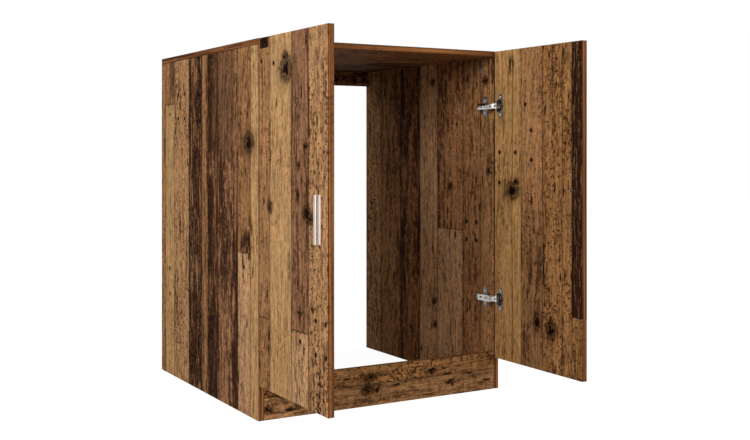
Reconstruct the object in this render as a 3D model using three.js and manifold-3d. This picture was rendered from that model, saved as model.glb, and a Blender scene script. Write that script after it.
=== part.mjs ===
// A free-standing cabinet for a washing machine: a top and two sides in 15 mm board, a plinth, a rail
// at the back and two doors on concealed cup hinges. Millimetres, +Z up, front towards -Y.
// It is drawn with both doors open at a right angle.
// The origin lies on the floor, in the middle of the cabinet with its doors open.

import * as THREE from 'three';
import { mergeVertices } from 'three/addons/utils/BufferGeometryUtils.js';
import Module from 'manifold-3d';

const wasm = await Module();
wasm.setup();

// Overall size with the doors shut
const cabinetWidth = 710;
const cabinetDepth = 715;
const cabinetHeight = 915;

// Boards
const boardThickness = 15;
const plinthHeight = 100;
const railHeight = 45;

// Doors, hung over the front edges of the boards
const doorGap = 2.5;          // between a shut door and the carcass
const doorReveal = 1;         // board edge left showing beside a shut door
const doorMeetingGap = 3;     // between the two shut doors
const doorTopReveal = 1;
const plinthOverlap = 15;     // how far the doors hang over the plinth
const pivotDepth = 8;         // pivot line below the inner face of the door
const shutTurn = 90;          // of a door from where it is drawn, in degrees
const pastOpenTurn = 10;      // the other way, in degrees

// Fits
const clearance = 0.3;        // round what sits in a hole
const overrun = 1;            // how far a cutting tool passes its face

// Cup hinges, two for each door
const lowerHingeInset = 160;  // from the bottom edge of the door
const upperHingeInset = 148;  // from its top edge
const cupRadius = 17.2;
const cupDepth = 12.2;
const cupWall = 0.8;
const cupToDoorEdge = 3.3;
const cupPinRadius = 0.8;
const flangeThickness = 1.2;
const flangeLobeRadius = 8.5;
const cupScrewSpacing = 48;
const cupScrewOffset = 6;     // from the middle of the cup away from the door edge

// Hinge arm, a channel of pressed steel
const hingeSheet = 1.4;
const armWidth = 16;
const armRear = 52;
const armHeelRise = 2.5;      // lower edge of the arm above the board, in front of its plate
const armRearEyeRadius = 3.1; // of its wall round the rear pin
const armPinRadius = 1.2;
const pinHeadRadius = 2;
const pinHeadHeight = 0.6;
const armScrewLength = 7;
const frontArmScrewSetback = 16;
const rearArmScrewSetback = 40;

// Outer link of a hinge
const outerLinkReach = 22;    // from the pivot line to its pin in the arm
const outerLinkCrank = 5;     // from the pivot line to its pin in the cup
const outerLinkAngle = -24.5; // of that crank at rest, in degrees
const outerLinkHalf = 1.5;
const outerLinkBow = 4.2;
const outerEyeRadius = 2.6;
const outerTipRadius = 1.8;
const outerSlotSide = 0.4;    // play at each side of the cup pin
const outerSlotNear = 1.45;   // travel of the cup pin towards the arm
const outerSlotFar = 0.8;     // travel of the cup pin away from the arm
const outerLegInner = 2.1;    // these four are half widths, measured up the pins
const outerLegArm = 6.2;
const outerLegFlare = 10.6;
const outerLegTip = 4.8;
const outerPathShares = [[0, 0], [0.35, 0.62], [0.72, 1], [0.9, 0.6], [1, 0]];
const outerFlareShare = 0.68;
const outerWebShare = 0.26;    // of the way to the cup pin, before the legs part

// Inner link of a hinge
const innerLinkReach = 24;
const innerLinkCrank = 1.4;
const innerLinkAngle = 12;
const innerLinkHalf = 0.8;
const innerLinkBow = 8;
const innerEyeRadius = 2.5;
const innerLinkWidth = 3.4;
const innerPathShares = [[0, 0], [0.36, 0.3], [0.51, 0.88], [0.64, 1.26], [0.79, 1.13], [0.9, 0.49]];

// Mounting plate of a hinge, screwed to the side
const plateFront = 26;
const plateRear = 46;
const plateHeight = 53;
const plateThickness = 2;
const plateCorner = 5;
const plateScrewSetback = 37;
const plateScrewSpacing = 32;
const bossGap = 0.4;          // between the boss of the plate and the arm over it
const bossRear = 50;

// Screws
const screwHeadRadius = 3.6;
const screwHeadHeight = 1.6;
const screwShankRadius = 1.9;
const screwLength = 11;       // in the board
const crossWidth = 1.1;
const crossDepth = 0.9;
const crossSpan = 4.2;

// Handles: a waisted aluminium bar, screwed on from inside the door
const handleLength = 106;
const handleScrewInset = 5;   // from each end of the handle
const handleDepth = 12;
const handleFaceWidth = 10;
const handleWaistWidth = 7;
const handleFootWidth = 11;
const handleLip = 2;
const handleFromDoorEdge = 40;
const handleScrewDepth = 8;
const handleScrewRadius = 2;
const handleScrewHeadRadius = 4;
const handleScrewHeadHeight = 2.2;

// Cam fittings that draw the boards together
const camRadius = 7.4;
const camDepth = 12.5;
const camSetback = 34;        // from the cam to the end of its board
const camBoltRadius = 3;
const camBoltTipRadius = 2.4;
const camBoltTip = 11;
const camSlotWidth = 1.4;
const camSlotDepth = 1.5;
const topCamInset = 60;
const plinthCamHeight = 50;

// Facets
const cupSides = 20;
const roundSides = 12;
const smallSides = 8;
const bendSteps = 6;
const cornerSteps = 2;

// Finishes
const finishes = {
  wood: { color: 0x8a6443, roughness: 0.62, metalness: 0 },
  nickel: { color: 0xc9c8c4, roughness: 0.3, metalness: 1 },
  zinc: { color: 0xb4b6b8, roughness: 0.42, metalness: 1 },
  aluminium: { color: 0xc8c6c3, roughness: 0.35, metalness: 1 },
};

// Places worked out from the sizes above. The left side is drawn, and the right one mirrors it.
const halfWidth = cabinetWidth / 2;
const carcassDepth = cabinetDepth - boardThickness - doorGap;
const sideHeight = cabinetHeight - boardThickness;
const innerHalf = halfWidth - boardThickness;
const sideInner = -innerHalf;
const doorWidth = halfWidth - doorReveal - doorMeetingGap / 2;
const doorBottom = plinthHeight - plinthOverlap;
const doorTop = cabinetHeight - doorTopReveal;
const pivot = new THREE.Vector2(boardThickness - pivotDepth - halfWidth, -doorGap - pivotDepth);
const doorHingeEdge = pivot.y + boardThickness - doorReveal - pivotDepth;
const doorFreeEdge = doorHingeEdge - doorWidth;
const openMiddleY = (carcassDepth + doorFreeEdge) / 2;
const hingeHeights = [doorBottom + lowerHingeInset, doorTop - upperHingeInset];
const cupCentreY = doorHingeEdge - cupToDoorEdge - cupRadius;
const cupScrewY = cupCentreY - cupScrewOffset;
const plateTop = sideInner + plateThickness;
const handleY = doorFreeEdge + handleFromDoorEdge;
const handleZ = (doorBottom + doorTop) / 2;
const handleScrewSpacing = handleLength - 2 * handleScrewInset;

// Solids

function asSolid(geometry) {
  const bare = geometry.clone();
  bare.deleteAttribute('normal');
  bare.deleteAttribute('uv');
  const joined = mergeVertices(bare);
  return new wasm.Manifold(new wasm.Mesh({
    numProp: 3,
    vertProperties: joined.attributes.position.array,
    triVerts: joined.index.array,
  }));
}

function asGeometry(solid) {
  const { vertProperties, triVerts } = solid.getMesh();
  const geometry = new THREE.BufferGeometry();
  geometry.setAttribute('position', new THREE.BufferAttribute(new Float32Array(vertProperties), 3));
  geometry.setIndex(new THREE.BufferAttribute(new Uint32Array(triVerts), 1));
  return geometry;
}

// The same solid at the other side of the cabinet
function mirrored(solid) {
  const geometry = asGeometry(solid).scale(-1, 1, 1);
  const index = geometry.index.array;
  for (let i = 0; i < index.length; i += 3) {
    [index[i + 1], index[i + 2]] = [index[i + 2], index[i + 1]];
  }
  return asSolid(geometry);
}

function unite(...solids) {
  return solids.reduce((whole, solid) => whole.add(solid));
}

function cut(whole, ...tools) {
  return tools.reduce((rest, tool) => rest.subtract(tool), whole);
}

function block(low, high) {
  const size = high.map((value, i) => value - low[i]);
  const middle = high.map((value, i) => (value + low[i]) / 2);
  return asSolid(new THREE.BoxGeometry(...size).translate(...middle));
}

// A round bar from one point along +X, +Y or +Z, or against it where the length is negative
function bar(axis, start, length, radius, sides = roundSides) {
  const round = new THREE.CylinderGeometry(radius, radius, Math.abs(length), sides);
  if (axis === 'x') round.rotateZ(Math.PI / 2);
  if (axis === 'z') round.rotateX(Math.PI / 2);
  const middle = { x: 0, y: 0, z: 0, [axis]: length / 2 };
  round.translate(start[0] + middle.x, start[1] + middle.y, start[2] + middle.z);
  return asSolid(round);
}

// A round pin that stands as far above the middle of the hinge as below it
function pin(at, half, radius, sides = smallSides) {
  return bar('z', [at.x, at.y, -half], 2 * half, radius, sides);
}

// An outline in X and Y, carried up from one height to another
function prism(outline, low, high, curveSegments = cornerSteps) {
  const shape = outline instanceof THREE.Shape ? outline : new THREE.Shape(outline);
  const depth = high - low;
  const geometry = new THREE.ExtrudeGeometry(shape, { depth, bevelEnabled: false, curveSegments });
  return asSolid(geometry.translate(0, 0, low));
}

// An outline in Y and Z, carried along X
function slab(outline, low, high) {
  const geometry = new THREE.ExtrudeGeometry(outline, {
    depth: high - low, bevelEnabled: false, curveSegments: cornerSteps,
  });
  geometry.rotateX(Math.PI / 2).rotateZ(Math.PI / 2);
  return asSolid(geometry.translate(low, 0, 0));
}

// An outline in X and Z, carried along Y
function curtain(outline, low, high) {
  const geometry = new THREE.ExtrudeGeometry(new THREE.Shape(outline), {
    depth: high - low, bevelEnabled: false,
  });
  geometry.rotateX(Math.PI / 2);
  return asSolid(geometry.translate(0, high, 0));
}

function roundedOutline(left, right, low, high, corner) {
  const shape = new THREE.Shape();
  shape.moveTo(left + corner, low);
  shape.lineTo(right - corner, low);
  shape.absarc(right - corner, low + corner, corner, -Math.PI / 2, 0);
  shape.lineTo(right, high - corner);
  shape.absarc(right - corner, high - corner, corner, 0, Math.PI / 2);
  shape.lineTo(left + corner, high);
  shape.absarc(left + corner, high - corner, corner, Math.PI / 2, Math.PI);
  shape.lineTo(left, low + corner);
  shape.absarc(left + corner, low + corner, corner, Math.PI, Math.PI * 3 / 2);
  return shape;
}

// Points beside a chord, from shares of its length and of the bow
function bowedPoints(start, end, bow, pathShares) {
  const along = end.clone().sub(start);
  const aside = new THREE.Vector2(-along.y, along.x).normalize().multiplyScalar(bow);
  return pathShares.map(([lengthShare, bowShare]) => start.clone()
    .addScaledVector(along, lengthShare).addScaledVector(aside, bowShare));
}

// A strap of even thickness along a smooth line
function strapOutline(points, half) {
  const line = new THREE.SplineCurve(points);
  const outward = [];
  const back = [];
  for (let i = 0; i <= bendSteps; i += 1) {
    const at = line.getPoint(i / bendSteps);
    const along = line.getTangent(i / bendSteps);
    const side = new THREE.Vector2(-along.y, along.x).multiplyScalar(half);
    outward.push(at.clone().add(side));
    back.unshift(at.clone().sub(side));
  }
  return outward.concat(back);
}

// A straight strap with round ends
function roundEndedStrap(from, to, radius, half) {
  const along = to.clone().sub(from).setLength(radius);
  const side = new THREE.Vector2(-along.y, along.x);
  const outline = [
    from.clone().add(side), from.clone().sub(side), to.clone().sub(side), to.clone().add(side),
  ];
  return unite(
    prism(outline, -half, half),
    pin(from, half, radius, roundSides),
    pin(to, half, radius, roundSides),
  );
}

// Scene graph

const cabinet = new THREE.Group();
cabinet.position.y = -openMiddleY;

function addMesh(parent, name, solid, finish) {
  const geometry = asGeometry(solid);
  geometry.computeVertexNormals();
  const mesh = new THREE.Mesh(geometry, new THREE.MeshStandardMaterial(finishes[finish]));
  mesh.name = name;
  parent.add(mesh);
}

function addPair(parent, name, solid, finish) {
  addMesh(parent, `${name}_left`, solid, finish);
  addMesh(parent, `${name}_right`, mirrored(solid), finish);
}

// A screw: a flat head with a cross recess, standing on a face that looks along +X, and its shank
function screwAlongX(at, length, radius, headRadius, headHeight) {
  const [x, y, z] = at;
  const recess = [[crossSpan, crossWidth], [crossWidth, crossSpan]].map(([wide, tall]) => block(
    [x + headHeight - crossDepth, y - wide / 2, z - tall / 2],
    [x + headHeight + overrun, y + wide / 2, z + tall / 2],
  ));
  return cut(unite(
    bar('x', at, headHeight, headRadius),
    bar('x', at, -length, radius, smallSides),
  ), ...recess);
}

// Cam fittings. The cam is let into one board, and its bolt runs on through the end of that board
// into the next one. The same bars, larger by the clearance, cut the holes.

const axisIndex = { x: 0, y: 1, z: 2 };

function camBars({ mouth, face, faceWay, bolt, boltWay }, play) {
  const lead = play > 0 ? overrun : 0;
  const start = [...mouth];
  start[axisIndex[face]] += faceWay * lead;
  const middle = [...mouth];
  middle[axisIndex[face]] -= faceWay * boardThickness / 2;
  return {
    cam: bar(face, start, -faceWay * (camDepth + play + lead), camRadius + play),
    shaft: bar(bolt, middle, boltWay * (camSetback + lead), camBoltRadius + play, smallSides),
    tip: bar(bolt, middle, boltWay * (camSetback + camBoltTip + play), camBoltTipRadius + play,
      smallSides),
  };
}

function camLock(fitting) {
  const { cam, shaft, tip } = camBars(fitting, 0);
  const low = [...fitting.mouth];
  const high = [...fitting.mouth];
  for (const [axis, i] of Object.entries(axisIndex)) {
    let half = camSlotWidth / 2;
    if (axis === fitting.face) half = camSlotDepth;
    if (axis === fitting.bolt) half = camRadius - camSlotWidth;
    low[i] -= half;
    high[i] += half;
  }
  return cut(unite(cam, shaft, tip), block(low, high));
}

const [frontTopCam, rearTopCam] = [topCamInset, carcassDepth - topCamInset].map((y) => ({
  mouth: [sideInner, y, sideHeight - camSetback], face: 'x', faceWay: 1, bolt: 'z', boltWay: 1,
}));
const plinthCam = {
  mouth: [sideInner + camSetback, boardThickness, plinthCamHeight],
  face: 'y', faceWay: 1, bolt: 'x', boltWay: -1,
};
const railCam = {
  mouth: [sideInner + camSetback, carcassDepth - boardThickness, sideHeight - railHeight / 2],
  face: 'y', faceWay: -1, bolt: 'x', boltWay: -1,
};

// Boards

let topPanel = block([-halfWidth, 0, sideHeight], [halfWidth, carcassDepth, cabinetHeight]);
let sidePanel = block([-halfWidth, 0, 0], [sideInner, carcassDepth, sideHeight]);
for (const fitting of [frontTopCam, rearTopCam]) {
  const { cam, shaft, tip } = camBars(fitting, clearance);
  sidePanel = cut(sidePanel, cam, shaft);
  topPanel = cut(topPanel, tip, mirrored(tip));
}

function crossBoard(low, high, fitting) {
  const { cam, shaft, tip } = camBars(fitting, clearance);
  sidePanel = cut(sidePanel, tip);
  return cut(block(low, high), cam, shaft, mirrored(cam), mirrored(shaft));
}

const plinth = crossBoard([-innerHalf, 0, 0], [innerHalf, boardThickness, plinthHeight], plinthCam);
const rail = crossBoard([-innerHalf, carcassDepth - boardThickness, sideHeight - railHeight],
  [innerHalf, carcassDepth, sideHeight], railCam);

function screwHole(face, y, z) {
  return bar('x', [face + overrun, y, z], -screwLength - clearance - overrun,
    screwShankRadius + clearance, smallSides);
}

let door = block([-halfWidth, doorFreeEdge, doorBottom], [sideInner, doorHingeEdge, doorTop]);
for (const height of hingeHeights) {
  door = cut(door, bar('x', [sideInner + overrun, cupCentreY, height],
    -cupDepth - clearance - overrun, cupRadius + clearance, cupSides));
  for (const way of [-1, 1]) {
    door = cut(door, screwHole(sideInner, cupScrewY, height + way * cupScrewSpacing / 2));
    sidePanel = cut(sidePanel,
      screwHole(sideInner, plateScrewSetback, height + way * plateScrewSpacing / 2));
  }
}
for (const way of [-1, 1]) {
  door = cut(door, bar('x', [-halfWidth - overrun, handleY, handleZ + way * handleScrewSpacing / 2],
    boardThickness + 2 * overrun, handleScrewRadius + clearance, smallSides));
}

// The handle: a flat face, a waist to hook the fingers behind and a wider foot
function handle() {
  const face = handleFaceWidth / 2;
  const waist = handleWaistWidth / 2;
  const foot = handleFootWidth / 2;
  const chamfer = handleLip / 2;
  const front = -halfWidth - handleDepth;
  const waistX = -halfWidth - handleDepth / 2;
  const footX = (waistX - halfWidth) / 2;
  const shape = new THREE.Shape();
  shape.moveTo(-halfWidth, handleY - foot);
  shape.lineTo(-halfWidth, handleY + foot);
  shape.quadraticCurveTo(footX, handleY + waist, waistX, handleY + waist);
  shape.quadraticCurveTo(front + handleLip, handleY + waist, front + handleLip, handleY + face);
  shape.lineTo(front + chamfer, handleY + face);
  shape.lineTo(front, handleY + face - chamfer);
  shape.lineTo(front, handleY - face + chamfer);
  shape.lineTo(front + chamfer, handleY - face);
  shape.lineTo(front + handleLip, handleY - face);
  shape.quadraticCurveTo(front + handleLip, handleY - waist, waistX, handleY - waist);
  shape.quadraticCurveTo(footX, handleY - waist, -halfWidth, handleY - foot);
  const grip = prism(shape, handleZ - handleLength / 2, handleZ + handleLength / 2, bendSteps);
  return cut(grip, ...[-1, 1].map((way) => bar('x',
    [-halfWidth + overrun, handleY, handleZ + way * handleScrewSpacing / 2],
    -handleScrewDepth - clearance - overrun, handleScrewRadius + clearance, smallSides)));
}

// Hinge pins in X and Y. Each link turns on a pin in the arm, and its far end follows a pin in the
// cup. The arm pin lies on the line from the pivot that halves the travel of the cup pin.

function fromPivot(length, degrees) {
  const angle = THREE.MathUtils.degToRad(degrees);
  return new THREE.Vector2(length, 0).rotateAround(new THREE.Vector2(), angle).add(pivot);
}

const travelMiddle = (shutTurn - pastOpenTurn) / 2;
const outerCupPin = fromPivot(outerLinkCrank, outerLinkAngle);
const outerArmPin = fromPivot(outerLinkReach, outerLinkAngle + travelMiddle);
const innerCupPin = fromPivot(-innerLinkCrank, innerLinkAngle);
const innerArmPin = fromPivot(innerLinkReach, innerLinkAngle + travelMiddle);

const armNoseRadius = outerEyeRadius + clearance + hingeSheet;
const armTop = outerArmPin.x + armNoseRadius;
const armHalf = armWidth / 2;
const armInner = armHalf - hingeSheet;

// The outer link: two flared legs on a barrel, each with a slotted tip
function outerLink() {
  const path = bowedPoints(outerArmPin, outerCupPin, outerLinkBow, outerPathShares);
  const towardsCup = outerCupPin.clone().sub(outerArmPin).normalize();
  const slotNear = outerCupPin.clone().addScaledVector(towardsCup, -outerSlotNear);
  const slotFar = outerCupPin.clone().addScaledVector(towardsCup, outerSlotFar);
  const tipX = slotFar.x - outerTipRadius - overrun;
  const webX = THREE.MathUtils.lerp(outerArmPin.x, outerCupPin.x, outerWebShare);
  const backX = outerArmPin.x + outerEyeRadius + overrun;
  const frontY = slotFar.y - outerLinkBow - outerTipRadius - overrun;
  const backY = outerArmPin.y + outerEyeRadius + overrun;
  const halfPlan = [
    [backX, outerLegArm],
    [outerArmPin.x - armNoseRadius - hingeSheet, outerLegArm],
    [outerArmPin.x + (outerCupPin.x - outerArmPin.x) * outerFlareShare, outerLegFlare],
    [outerCupPin.x + outerTipRadius, outerLegTip],
    [tipX, outerLegTip],
  ];
  const plan = [
    ...halfPlan.map(([x, z]) => new THREE.Vector2(x, z)),
    ...halfPlan.reverse().map(([x, z]) => new THREE.Vector2(x, -z)),
  ];
  const strap = unite(
    prism(strapOutline(path, outerLinkHalf), -outerLegFlare, outerLegFlare),
    roundEndedStrap(slotNear, slotFar, outerTipRadius, outerLegFlare),
    pin(outerArmPin, outerLegFlare, outerEyeRadius, roundSides),
  );
  return cut(
    strap.intersect(curtain(plan, frontY, backY)),
    block([tipX, frontY, -outerLegInner], [webX, backY, outerLegInner]),
    roundEndedStrap(slotNear, slotFar, cupPinRadius + outerSlotSide, outerLegFlare + overrun),
    pin(outerArmPin, outerLegFlare + overrun, armPinRadius + clearance),
  );
}

// The inner link: a narrow strap between those legs, hooked under the deeper pin of the cup
function innerLink() {
  const half = innerLinkWidth / 2;
  const path = bowedPoints(innerArmPin, innerCupPin, innerLinkBow, innerPathShares);
  return cut(
    unite(
      prism(strapOutline(path, innerLinkHalf), -half, half),
      pin(path[path.length - 1], half, innerLinkHalf),
      pin(innerArmPin, half, innerEyeRadius, roundSides),
    ),
    pin(innerArmPin, half + overrun, armPinRadius + clearance),
  );
}

// The arm: a pressed channel, open towards the side, with two pins riveted through its walls and
// two screws in its back
function arm() {
  const wall = [
    [armTop, outerArmPin.y],
    [armTop, armRear],
    [plateTop, armRear],
    [plateTop, plateFront],
    [sideInner + armHeelRise, plateFront - armHeelRise],
    [innerArmPin.x - armRearEyeRadius, innerArmPin.y],
    [outerArmPin.x - armNoseRadius, outerArmPin.y],
  ].map(([x, y]) => new THREE.Vector2(x, y));
  const full = unite(
    prism(wall, -armHalf, armHalf),
    pin(outerArmPin, armHalf, armNoseRadius, roundSides),
    pin(innerArmPin, armHalf, armRearEyeRadius, roundSides),
  );
  const noseX = outerArmPin.x - armNoseRadius - overrun;
  const noseY = outerArmPin.y - armNoseRadius - overrun;
  const pins = [outerArmPin, innerArmPin].flatMap((at) => [
    pin(at, armHalf, armPinRadius),
    cut(pin(at, armHalf + pinHeadHeight, pinHeadRadius), pin(at, armHalf, pinHeadRadius + overrun)),
  ]);
  const screws = [frontArmScrewSetback, rearArmScrewSetback].map((setback) => screwAlongX(
    [armTop, setback, 0], armScrewLength, screwShankRadius, screwHeadRadius, screwHeadHeight,
  ));
  return unite(cut(
    full,
    block([sideInner - overrun, noseY, -armInner],
      [armTop - hingeSheet, armRear - hingeSheet, armInner]),
    block([noseX, noseY, -armInner], [armTop + overrun, outerArmPin.y, armInner]),
  ), ...pins, ...screws);
}

// The mounting plate: two wings for the screws and a boss that the arm closes over
function mountingPlate() {
  const tall = plateHeight / 2;
  const bossHalf = armInner - bossGap;
  const screwHoles = [-1, 1].map((way) => bar('x',
    [sideInner - overrun, plateScrewSetback, way * plateScrewSpacing / 2],
    plateThickness + 2 * overrun, screwShankRadius + clearance, smallSides));
  return cut(
    unite(
      slab(roundedOutline(plateFront, plateRear, -tall, tall, plateCorner), sideInner, plateTop),
      slab(roundedOutline(plateFront, bossRear, -armHalf, armHalf, hingeSheet), sideInner, plateTop),
      block([plateTop - overrun, plateFront + hingeSheet, -bossHalf],
        [armTop - hingeSheet - bossGap, bossRear - hingeSheet, bossHalf]),
    ),
    ...screwHoles,
    bar('x', [armTop, rearArmScrewSetback, 0], -armScrewLength - clearance,
      screwShankRadius + clearance, smallSides),
  );
}

// The cup: a drawn steel pot with a two-lobed flange, a pair of stub pins and a deeper pin
function cup() {
  const bore = cupRadius - cupWall;
  const profile = [
    [0, 0], [cupRadius, 0], [cupRadius, cupDepth], [bore, cupDepth], [bore, cupWall], [0, cupWall],
  ].map(([x, y]) => new THREE.Vector2(x, y));
  const pot = new THREE.LatheGeometry(profile, cupSides);
  pot.rotateZ(-Math.PI / 2).translate(sideInner - cupDepth, cupCentreY, 0);
  const flangeFace = sideInner + flangeThickness;
  const lobeZ = cupScrewSpacing / 2;
  const waist = flangeLobeRadius + cupScrewOffset;
  const flange = unite(
    bar('x', [sideInner, cupCentreY, 0], flangeThickness, cupRadius, cupSides),
    ...[-1, 1].map((way) => bar('x', [sideInner, cupScrewY, way * lobeZ], flangeThickness,
      flangeLobeRadius)),
    block([sideInner, cupScrewY - flangeLobeRadius, -lobeZ],
      [flangeFace, cupScrewY + flangeLobeRadius, lobeZ]),
    block([sideInner, cupScrewY - flangeLobeRadius, -waist],
      [flangeFace, cupCentreY + cupScrewOffset, waist]),
  );
  const holes = [-1, 1].map((way) => bar('x', [sideInner - overrun, cupScrewY, way * lobeZ],
    flangeThickness + 2 * overrun, screwShankRadius + clearance, smallSides));
  holes.push(bar('x', [sideInner - cupWall, cupCentreY, 0], flangeThickness + cupWall + overrun,
    bore, cupSides));
  const stubs = cut(pin(outerCupPin, cupRadius, cupPinRadius),
    pin(outerCupPin, outerLegInner, cupPinRadius + overrun));
  const pins = unite(stubs, pin(innerCupPin, cupRadius, cupPinRadius));
  const withinWall = bar('x', [sideInner - cupDepth, cupCentreY, 0], cupDepth,
    cupRadius - cupWall / 2, cupSides);
  return unite(asSolid(pot), cut(flange, ...holes), pins.intersect(withinWall));
}

// Everything in its place

addMesh(cabinet, 'top_panel', topPanel, 'wood');
addPair(cabinet, 'side_panel', sidePanel, 'wood');
addMesh(cabinet, 'plinth_board', plinth, 'wood');
addMesh(cabinet, 'rear_top_rail', rail, 'wood');
addPair(cabinet, 'cam_lock_top_front', camLock(frontTopCam), 'zinc');
addPair(cabinet, 'cam_lock_top_rear', camLock(rearTopCam), 'zinc');
addPair(cabinet, 'cam_lock_plinth', camLock(plinthCam), 'zinc');
addPair(cabinet, 'cam_lock_rail', camLock(railCam), 'zinc');
addPair(cabinet, 'door', door, 'wood');
addPair(cabinet, 'handle', handle(), 'aluminium');
for (const [place, way] of [['lower', -1], ['upper', 1]]) {
  const screw = screwAlongX([sideInner, handleY, handleZ + way * handleScrewSpacing / 2],
    boardThickness + handleScrewDepth, handleScrewRadius, handleScrewHeadRadius,
    handleScrewHeadHeight);
  addPair(cabinet, `handle_screw_${place}`, screw, 'nickel');
}

const hingeSolids = {
  hinge_plate: mountingPlate(),
  hinge_arm: arm(),
  hinge_outer_link: outerLink(),
  hinge_inner_link: innerLink(),
  hinge_cup: cup(),
};
for (const [place, way] of [['low', -1], ['high', 1]]) {
  hingeSolids[`plate_screw_${place}`] = screwAlongX(
    [plateTop, plateScrewSetback, way * plateScrewSpacing / 2],
    screwLength + plateThickness, screwShankRadius, screwHeadRadius, screwHeadHeight,
  );
  hingeSolids[`cup_screw_${place}`] = screwAlongX(
    [sideInner + flangeThickness, cupScrewY, way * cupScrewSpacing / 2],
    screwLength + flangeThickness, screwShankRadius, screwHeadRadius, screwHeadHeight,
  );
}
for (const [i, place] of ['bottom', 'top'].entries()) {
  const hinge = new THREE.Group();
  hinge.position.z = hingeHeights[i];
  cabinet.add(hinge);
  for (const [name, solid] of Object.entries(hingeSolids)) {
    addPair(hinge, `${place}_${name}`, solid, 'nickel');
  }
}

export default cabinet;
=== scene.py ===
import math
import bpy
import bmesh
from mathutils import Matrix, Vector


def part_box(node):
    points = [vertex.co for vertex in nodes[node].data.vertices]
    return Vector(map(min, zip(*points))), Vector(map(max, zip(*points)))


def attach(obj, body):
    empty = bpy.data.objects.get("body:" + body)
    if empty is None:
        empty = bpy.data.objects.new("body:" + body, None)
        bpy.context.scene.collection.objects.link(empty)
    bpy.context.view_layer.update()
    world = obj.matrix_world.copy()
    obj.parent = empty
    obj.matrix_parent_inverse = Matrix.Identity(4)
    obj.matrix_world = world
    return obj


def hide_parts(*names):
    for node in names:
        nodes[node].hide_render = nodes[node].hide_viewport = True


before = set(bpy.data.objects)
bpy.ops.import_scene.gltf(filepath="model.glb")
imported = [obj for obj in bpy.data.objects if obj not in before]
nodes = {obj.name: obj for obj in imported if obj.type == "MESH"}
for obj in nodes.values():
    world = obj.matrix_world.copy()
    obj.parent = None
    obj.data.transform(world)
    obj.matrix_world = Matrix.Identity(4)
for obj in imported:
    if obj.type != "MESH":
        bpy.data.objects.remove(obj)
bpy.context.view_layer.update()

# Side boards: 15 mm chipboard faced with melamine paper that is printed as planks of weathered
# barn wood and pressed matt. Sawn to size, edged with a strip of the same print, and stood on
# the floor on their lower edges.


def linear(colour, alpha=1.0):
    """An sRGB hex colour as linear red, green and blue, and its alpha."""
    parts = [int(colour[i:i + 2], 16) / 255 for i in (1, 3, 5)]
    return [c / 12.92 if c <= 0.04045 else ((c + 0.055) / 1.055) ** 2.4 for c in parts] + [alpha]


def add(tree, kind, settings, sockets):
    """Adds a node. Its sockets take values, outputs, or other nodes, which stand for their first output."""
    node = tree.nodes.new(kind)
    for name, value in settings.items():
        setattr(node, name, value)
    for name, value in sockets.items():
        if isinstance(value, bpy.types.Node):
            value = next(out for out in value.outputs if out.enabled)
        if isinstance(value, bpy.types.NodeSocket):
            tree.links.new(value, node.inputs[name])
        else:
            node.inputs[name].default_value = value
    return node


def new_material(name):
    """A new material with its node tree, which is empty."""
    material = bpy.data.materials.new(name)
    material.use_nodes = True
    material.node_tree.nodes.clear()
    return material, material.node_tree


def fill_ramp(node, stops, interpolation):
    """Gives a colour ramp these stops, each a place and a colour."""
    node.color_ramp.interpolation = interpolation
    elements = node.color_ramp.elements
    while len(elements) > 1:
        elements.remove(elements[-1])
    elements[0].position = stops[0][0]
    elements[0].color = stops[0][1]
    for place, colour in stops[1:]:
        elements.new(place).color = colour


def off_line(tree, value, line):
    """How far a value lies from a line, to either side."""
    off = add(tree, "ShaderNodeMath", {"operation": "SUBTRACT"}, {0: value, 1: line})
    return add(tree, "ShaderNodeMath", {"operation": "ABSOLUTE"}, {0: off})


def stretched_noise(tree, spot, across, along, detail, roughness=0.5):
    """Flat noise with so many cycles a metre across the planks and along them."""
    spot = add(tree, "ShaderNodeVectorMath", {"operation": "MULTIPLY"}, {0: spot, 1: (across, along, 0.0)})
    return add(tree, "ShaderNodeTexNoise", {"noise_dimensions": "2D"},
               {"Vector": spot, "Scale": 1.0, "Detail": detail, "Roughness": roughness})


def board_places(tree, node, across, along):
    """Where a point lies on a board, in metres across (u), along (v) and through it (w), from its low
    corner. Tables hold on the face at the low end of w, and are turned round on the face behind it."""
    low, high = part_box(node)
    through = next(axis for axis in "XYZ" if axis not in (across, along))
    start = {axis: low["XYZ".index(axis)] for axis in "XYZ"}
    size = {axis: high["XYZ".index(axis)] - start[axis] for axis in "XYZ"}
    place = add(tree, "ShaderNodeTexCoord", {}, {})
    spot = add(tree, "ShaderNodeSeparateXYZ", {}, {0: place.outputs["Object"]})
    facing = add(tree, "ShaderNodeSeparateXYZ", {}, {0: place.outputs["Normal"]})
    board = {"length": size[along], "thickness": size[through]}
    for key, axis in (("u_plain", across), ("v", along), ("w", through)):
        board[key] = add(tree, "ShaderNodeMath", {"operation": "SUBTRACT"},
                         {0: spot.outputs[axis], 1: start[axis]})
    flat_side = add(tree, "ShaderNodeMath", {"operation": "ABSOLUTE"}, {0: facing.outputs[through]})
    end_side = add(tree, "ShaderNodeMath", {"operation": "ABSOLUTE"}, {0: facing.outputs[along]})
    for key, side in (("behind", facing.outputs[through]), ("is_flat", flat_side), ("is_end", end_side)):
        board[key] = add(tree, "ShaderNodeMath", {"operation": "GREATER_THAN"}, {0: side, 1: 0.5})
    turned = add(tree, "ShaderNodeMath", {"operation": "SUBTRACT"}, {0: size[across], 1: board["u_plain"]})
    board["u"] = add(tree, "ShaderNodeMix", {},
                     {0: board["behind"], 2: board["u_plain"], 3: turned})
    board["flat_spot"] = add(tree, "ShaderNodeCombineXYZ", {},
                             {0: board["u"], 1: board["v"], 2: board["behind"]})
    return board


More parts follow.
